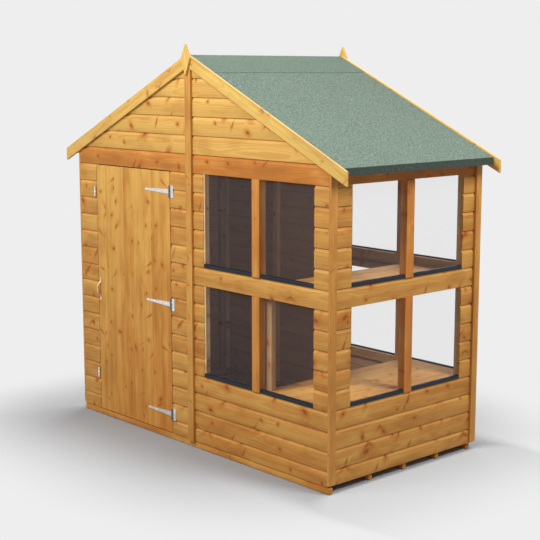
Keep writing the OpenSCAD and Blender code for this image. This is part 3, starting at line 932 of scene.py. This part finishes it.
class SHED_OT_roof(bpy.types.Operator):
    """Boards the roof and finishes its felt"""

    bl_idname = "shed.roof"
    bl_label = "Roof"

    tones = (0.1, 0.7)

    # Ridge strip: height over the felt, tuck of its underside, and the zone where its edge cannot be
    skin = 0.0007
    tuck = 0.01
    ridge_zone = 0.01
    # The strip's edge: how wide a zone of it wanders, how far, and in how many parts
    edge_zone = 0.02
    edge_wander = 0.0022
    edge_parts = 24
    # Clout nails: distance from the strip's edge, and place up the eaves felt as a share of its height
    clout_in = 0.022
    clout_up = 0.4

    def execute(self, context):
        sizes = context.scene.shed_sizes
        for side in ("left", "right"):
            sliced(f"roof_boarding_{side}", f"roof_boards_{side}", BACK, WALLS[side], sizes.roof_board,
                   self.tones, "shed", "roof_boards", "framing")
        paint(("roof_felt_left", "roof_felt_right"), "felt")
        # painted shade: the eaves felt gets the darker copy of the felt
        paint(("eaves_felt",), "felt_edge")
        lap = self.ridge_strip(sizes)
        self.clouts(sizes, lap)
        return {"FINISHED"}

    def ridge_strip(self, sizes):
        """Lays the strip of finer felt over the ridge, with a lower edge that wanders a little."""
        felt = node_copy("roof_felt_right")
        lap = min(v.co.x for v in felt.verts if v.co.x > self.ridge_zone)
        felt.free()
        (_, front, _), (_, back, apex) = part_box("roof_felt_right")
        roof = RoofLine()

        def top(x):
            return apex - roof.fall * x + self.skin

        edge, under = lap + self.skin, top(lap) - sizes.ridge_lap
        half = [
            (0, top(0)), (lap, top(lap)), (edge, top(lap) - self.skin),
            (edge, under), (lap - self.tuck, under), (0, top(0) - sizes.ridge_lap),
        ]
        outline = half + [(-x, z) for x, z in reversed(half[1:-1])]
        bm = bmesh.new()
        extruded(bm, [(x, front, z) for x, z in outline], (0, back - front, 0))
        for n in range(1, self.edge_parts):
            bisect(bm, BACK * (front + (back - front) * n / self.edge_parts), BACK)
        rng = random.Random("ridge strip")
        waves = {}
        for v in bm.verts:
            if abs(v.co.x) > lap - self.edge_zone:
                side = math.copysign(1, v.co.x)
                drawn = rng.uniform(-self.edge_wander, self.edge_wander)
                wave = waves.setdefault((side, round(v.co.y, 4)), drawn)
                v.co += Vector((side * wave, 0, -roof.fall * wave))
        piece("ridge_felt_strip", bm, "shed", "felt", finish("ridge"), smooth=True)
        return lap

    def clouts(self, sizes, lap):
        """Nails the felt along the eaves and along the ridge strip's lower edge."""
        roof = RoofLine()
        (_, front, _), (_, back, apex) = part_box("roof_felt_right")
        (_, _, eave_low), (eave, _, eave_high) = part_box("eaves_felt")
        eave_z = eave_low + self.clout_up * (eave_high - eave_low)
        x = lap - self.clout_in
        z = apex - roof.fall * x + self.skin
        bm = bmesh.new()
        count = round((back - front) / sizes.clout_gap)
        for n in range(count):
            y = front + (n + 0.5) * (back - front) / count
            for side, out in zip((1, -1), roof.sides):
                nail_head(bm, Vector((side * x, y, z)), out, sizes.clout)
                nail_head(bm, Vector((side * eave, y, eave_z)), Vector((side, 0, 0)), sizes.clout)
        piece("felt_clouts", bm, "shed", "zinc", finish("nail"))


class SHED_OT_windows(bpy.types.Operator):
    """Glazes the windows and sets the rounded drip strips"""

    bl_idname = "shed.windows"
    bl_label = "Windows"

    # A bead's edges are rounded by this share of the other timber's
    bead_ease = 0.5
    bead_tones = (0.0, 0.1)

    def execute(self, context):
        sizes = context.scene.shed_sizes
        paint(("window_panes",), "glazing")
        bm = node_copy("drip_strips")
        bm.edges.index_update()
        noses = [e for verts in islands(bm) for e in self.nose(verts)]
        ease_edges(bm, sizes.drip_round, segments=6, edges=sorted(noses, key=lambda e: e.index))
        piece("drip_mouldings", bm, "shed", "drip", finish("drip"), ("drip_strips",), smooth=True)
        self.beads(sizes)
        return {"FINISHED"}

    def nose(self, verts):
        """The long upper edge on the outer side of a drip strip."""
        low, high = extent(verts)
        centre = (low + high) / 2
        axis = 1 if high.x - low.x > high.y - low.y else 0
        out = Vector((0, 0, 0))
        out[axis] = math.copysign(1, centre[axis])
        for e in {e for v in verts for e in v.link_edges}:
            a, b = (v.co for v in e.verts)
            at = (a + b) / 2 - centre
            level = abs((b - a).z) < ON_PLANE and abs((b - a).dot(out)) < ON_PLANE
            if level and at.z > HAIR and at.dot(out) > HAIR:
                yield e

    def beads(self, sizes):
        """Stops the gables' panes with a pale bead against the jambs beside the cover strip."""
        stack = Stack("glazing_beads")
        for node in ("front_jambs", "back_jambs"):
            out = WALLS[node.split("_")[0]]
            boxes = solid_boxes(node)
            inmost = min(low.x for low, _ in boxes)
            for low, high in (box for box in boxes if box[0].x < inmost + sizes.bead):
                x = high.x + sizes.bead / 2
                face = max(low.dot(out), high.dot(out)) - sizes.bead_back
                board = blank()
                tall = high.z - low.z - sizes.bead_foot
                bmesh.ops.create_cube(board, size=1.0, matrix=Matrix.Translation(
                    (x, (face - sizes.bead / 2) * out.y, high.z - tall / 2)
                ) @ Matrix.Diagonal((sizes.bead, sizes.bead, tall, 1)))
                ease_edges(board, sizes.ease * self.bead_ease)
                stack.add(board, UP, out, stack.rng.uniform(*self.bead_tones))
        stack.done("shed", "trim", "cream", ())


class SHED_OT_door(bpy.types.Operator):
    """Boards the door and fits its ledges and braces"""

    bl_idname = "shed.door"
    bl_label = "Door"

    tones = (0.05, 0.45)
    back_tones = (0.2, 0.6)

    def execute(self, context):
        sizes = context.scene.shed_sizes
        # painted shade: the door's boards darken toward their foot, where less light falls
        sliced("door_boarding", "door_boards", RIGHT, UP, sizes.door_board, self.tones,
               "door", "door", "door", fine=0.45, painted_falloff=0.52)
        for node in ("door_ledges", "door_braces"):
            timber(node, sizes.ease, self.back_tones, "framing", "framing", "door")
        return {"FINISHED"}


# Shares of a screw head's radius: its top, height and middle, and its recess's rim and depth
SCREW_TOP = 0.66
SCREW_TALL = 0.42
SCREW_MIDDLE = 0.20
RECESS_RIM = 0.32
RECESS_DEEP = 0.22


def screw_head(bm, point, out, radius):
    """A low domed screw head with a sunk recess."""
    verts = stud(bm, point, out, 12, radius, radius * SCREW_TOP, radius * SCREW_TALL, radius * SCREW_MIDDLE)
    top = max({f for v in verts for f in v.link_faces}, key=lambda f: f.calc_center_median().dot(out))
    bmesh.ops.inset_individual(bm, faces=[top], thickness=radius * RECESS_RIM, depth=-radius * RECESS_DEEP)


# Kept tone of the hinge barrels, which mixes in dark steel as painted shade, and how far past their radius a
# face may lie
BARREL_PAINTED_SHADE = 0.9
BARREL_REACH = 1.02


def paint_barrel_shade(bm, pin, radius):
    """Parts the hinge barrels from the plates, so that only they carry the painted shade."""
    shade = bm.verts.layers.float["tone"]
    reach = radius * BARREL_REACH
    barrels = [
        f for f in bm.faces if all(math.hypot(v.co.x - pin.x, v.co.y - pin.y) < reach for v in f.verts)
    ]
    for g in bmesh.ops.split(bm, geom=barrels)["geom"]:
        if isinstance(g, bmesh.types.BMVert):
            g[shade] = BARREL_PAINTED_SHADE


class SHED_OT_ironwork(bpy.types.Operator):
    """Makes the tee hinges, bow handle and turn buttons, with their screws"""

    bl_idname = "shed.ironwork"
    bl_label = "Ironwork"

    # Thickness of the straps, plates and handle's feet, and rounding of the buttons
    plate = 0.003
    button_ease = 0.0007
    # Strap screws: the first from the pin, the last from the tip
    strap_first = 0.045
    strap_last = 0.020
    # Plate screws: from the plate's ends, and from its outer edge
    plate_screws = ((0.012, 0.010), (0.026, 0.020))
    # Handle screws: from its ends, and their size beside the others'
    foot_screw = 0.008
    foot_screw_size = 0.8

    def execute(self, context):
        sizes = context.scene.shed_sizes
        out = WALLS["front"]
        joint = {j["name"]: Vector(j["pos_m"]) for j in frame["record"]["behaviour"]["joints"]}
        pin = joint["door_hinge"]

        barrel = pin.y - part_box("hinge_plates")[0][1]
        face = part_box("door_boards")[0][1] - self.plate
        bm = node_copy("hinge_straps")
        for low, high in solid_boxes("hinge_straps"):
            z = (low.z + high.z) / 2
            gap = (pin.x - low.x - self.strap_first - self.strap_last) / (sizes.screws - 1)
            for n in range(sizes.screws):
                screw_head(bm, Vector((pin.x - self.strap_first - n * gap, face, z)), out, sizes.screw)
        paint_barrel_shade(bm, pin, barrel)
        piece("tee_hinge_straps", bm, "door", "zinc", finish("zinc"), ("hinge_straps",), smooth=True)

        bm = node_copy("hinge_plates")
        for low, high in solid_boxes("hinge_plates"):
            for rise, inset in self.plate_screws:
                for z in (low.z + rise, high.z - rise):
                    screw_head(bm, Vector((high.x - inset, face, z)), out, sizes.screw)
        paint_barrel_shade(bm, pin, barrel)
        piece("tee_hinge_plates", bm, "shed", "zinc", finish("zinc"), ("hinge_plates",), smooth=True)

        bm = node_copy("door_handle")
        low, high = extent(bm.verts)
        for z in (low.z + self.foot_screw, high.z - self.foot_screw):
            point = Vector(((low.x + high.x) / 2, high.y - self.plate, z))
            screw_head(bm, point, out, sizes.screw * self.foot_screw_size)
        piece("bow_handle", bm, "door", "zinc", finish("bow"), ("door_handle",), smooth=True)

        for which in ("top", "low"):
            node = f"turn_button_{which}"
            bm = node_copy(node)
            ease_edges(bm, self.button_ease)
            pivot = joint[f"button_{which}_turn"]
            screw_head(bm, Vector((pivot.x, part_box(node)[0][1], pivot.z)), out, sizes.screw)
            piece(f"{node}_bar", bm, f"button_{which}", "zinc", finish("zinc"), (node,), smooth=True)
        return {"FINISHED"}


# The camera stands where the photo's did
CAMERA_AT = Vector((5.775, -5.208, 2.324))
CAMERA_TURN = math.radians(47.90)
CAMERA_DOWN = math.radians(9.29)
CAMERA_LENS = 81.17
CAMERA_SENSOR = 36.0
LAMPS_AIM = Vector((0, 0, 1.1))
BACKGROUND = (0.855, 0.855, 0.855)
AMBIENT = (0.36, 0.365, 0.375)
# Radius of the floor, and how far from the walls its painted shade has faded into the background
FLOOR_RADIUS = 9.0
PAINTED_SHADE_REACH = 1.35


class SHED_OT_stage(bpy.types.Operator):
    """Sets the floor with painted shade round the shed, the soft lamps, the background and the camera"""

    bl_idname = "shed.stage"
    bl_label = "Stage"

    # Name, place, width and power of each lamp
    lamps = (
        ("front", (0.1, -3.9, 4.6), 2.4, 212.0),
        ("side", (4.5, 0.7, 5.3), 2.1, 240.0),
        ("back", (-2.6, 3.6, 4.8), 3.0, 110.0),
    )

    # The floor's painted shade fades faster beside the shed, and leans away before the windows and past the
    # corners
    side_fade = 1.25
    window_from = 0.15
    window_lean = 0.80
    window_reach = 0.34
    corner_spread = 0.9
    right_in, right_out, right_lean = 0.02, 0.03, 0.70
    left_out, left_lean = 0.10, 0.48

    def execute(self, context):
        scene = context.scene
        self.floor(scene)
        for name, at, size, power in self.lamps:
            data = bpy.data.lights.new(name, "AREA")
            data.shape, data.size, data.energy = "DISK", size, power
            lamp = bpy.data.objects.new(name, data)
            lamp.location = at
            lamp.rotation_euler = (LAMPS_AIM - lamp.location).to_track_quat("-Z", "Y").to_euler()
            scene.collection.objects.link(lamp)
        self.world(scene)
        camera = bpy.data.objects.new("camera", bpy.data.cameras.new("camera"))
        camera.data.lens, camera.data.sensor_width = CAMERA_LENS, CAMERA_SENSOR
        camera.location = CAMERA_AT
        camera.rotation_euler = (math.pi / 2 - CAMERA_DOWN, 0, CAMERA_TURN)
        scene.collection.objects.link(camera)
        scene.camera = camera
        scene.view_settings.view_transform = "Standard"
        return {"FINISHED"}

    def floor(self, scene):
        """A grey disc that takes the shed's shadows, with shade also painted round the shed, fading into the
        pale background.
        """
        f = Finish("stage_floor")
        x, y, _ = f.split(f.place())
        wide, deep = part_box("front_apron")[1][0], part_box("back_apron")[1][1]
        past_x = x.maths("MAXIMUM", x.maths("ABSOLUTE", x) - wide, 0.0) * self.side_fade
        past_y = y.maths("MAXIMUM", y.maths("ABSOLUTE", y) - deep, 0.0)
        front = x.maths("MAXIMUM", x - self.window_from, 0.0) * self.window_lean
        front = front * f.step(past_y, 0.0, self.window_reach)
        spread = past_y * self.corner_spread
        right = f.step(x, wide - self.right_in - spread, wide + self.right_out + spread) * self.right_lean
        left = f.step(x, spread - wide, -wide - self.left_out - spread) * self.left_lean
        lean = x.maths("MAXIMUM", front, right + left)
        away = (past_x * past_x + past_y * past_y + lean * lean) ** 0.5
        # painted shade: this grey near the shed is faded out by the mix below
        f.set(Base_Color=scene.shed_colours.floor, Roughness=0.9, Specular_IOR_Level=0.1)
        clear = f.node("ShaderNodeBsdfTransparent")
        shown = f.node("ShaderNodeMixShader", None,
                       {0: f.step(away, 0.0, PAINTED_SHADE_REACH), 1: Wire(f, f.shader.outputs[0]), 2: clear})
        f.tree.links.new(shown.socket, f.tree.nodes["Material Output"].inputs["Surface"])
        bm = bmesh.new()
        bmesh.ops.create_circle(bm, cap_ends=True, segments=96, radius=FLOOR_RADIUS)
        ground = mesh_object("stage_floor", bm, f.owner)
        ground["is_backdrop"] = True

    def world(self, scene):
        """Even light, with a pale background where it is seen or mirrored."""
        f = Finish("studio", bpy.data.worlds, "Background")
        seen, mirrored, through = f.node(
            "ShaderNodeLightPath", out=("Is Camera Ray", "Is Glossy Ray", "Is Transmission Ray")
        )
        for ray in (mirrored, through):
            seen = seen.maths("MAXIMUM", seen, ray)
        f.set(Color=f.mix(seen, AMBIENT, BACKGROUND))
        scene.world = f.owner


OPERATORS = (
    SHED_OT_cladding,
    SHED_OT_framing,
    SHED_OT_trim,
    SHED_OT_floor,
    SHED_OT_staging,
    SHED_OT_roof,
    SHED_OT_windows,
    SHED_OT_door,
    SHED_OT_ironwork,
    SHED_OT_stage,
)


class SHED_PT_panel(bpy.types.Panel):
    """Lists the shed's sizes, colours and pieces"""

    bl_idname = "SHED_PT_panel"
    bl_label = "Potting shed"
    bl_space_type = "VIEW_3D"
    bl_region_type = "UI"
    bl_category = "Shed"

    def draw(self, context):
        for group in (context.scene.shed_sizes, context.scene.shed_colours):
            for key in group.__annotations__:
                self.layout.prop(group, key)
        for operator in OPERATORS:
            self.layout.operator(operator.bl_idname)


CLASSES = (ShedSizes, ShedColours, *OPERATORS, SHED_PT_panel)


def register():
    for cls in CLASSES:
        bpy.utils.register_class(cls)
    bpy.types.Scene.shed_sizes = PointerProperty(type=ShedSizes)
    bpy.types.Scene.shed_colours = PointerProperty(type=ShedColours)


def unregister():
    del bpy.types.Scene.shed_colours
    del bpy.types.Scene.shed_sizes
    for cls in reversed(CLASSES):
        bpy.utils.unregister_class(cls)


def main():
    register()
    for operator in OPERATORS:
        group, name = operator.bl_idname.split(".")
        getattr(getattr(bpy.ops, group), name)()
    boxes = {"cad": CAD_BOX, "visual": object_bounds()}
    {key: [list(corner) for corner in box] for key, box in boxes.items()}


if __name__ == "__main__":
    main()
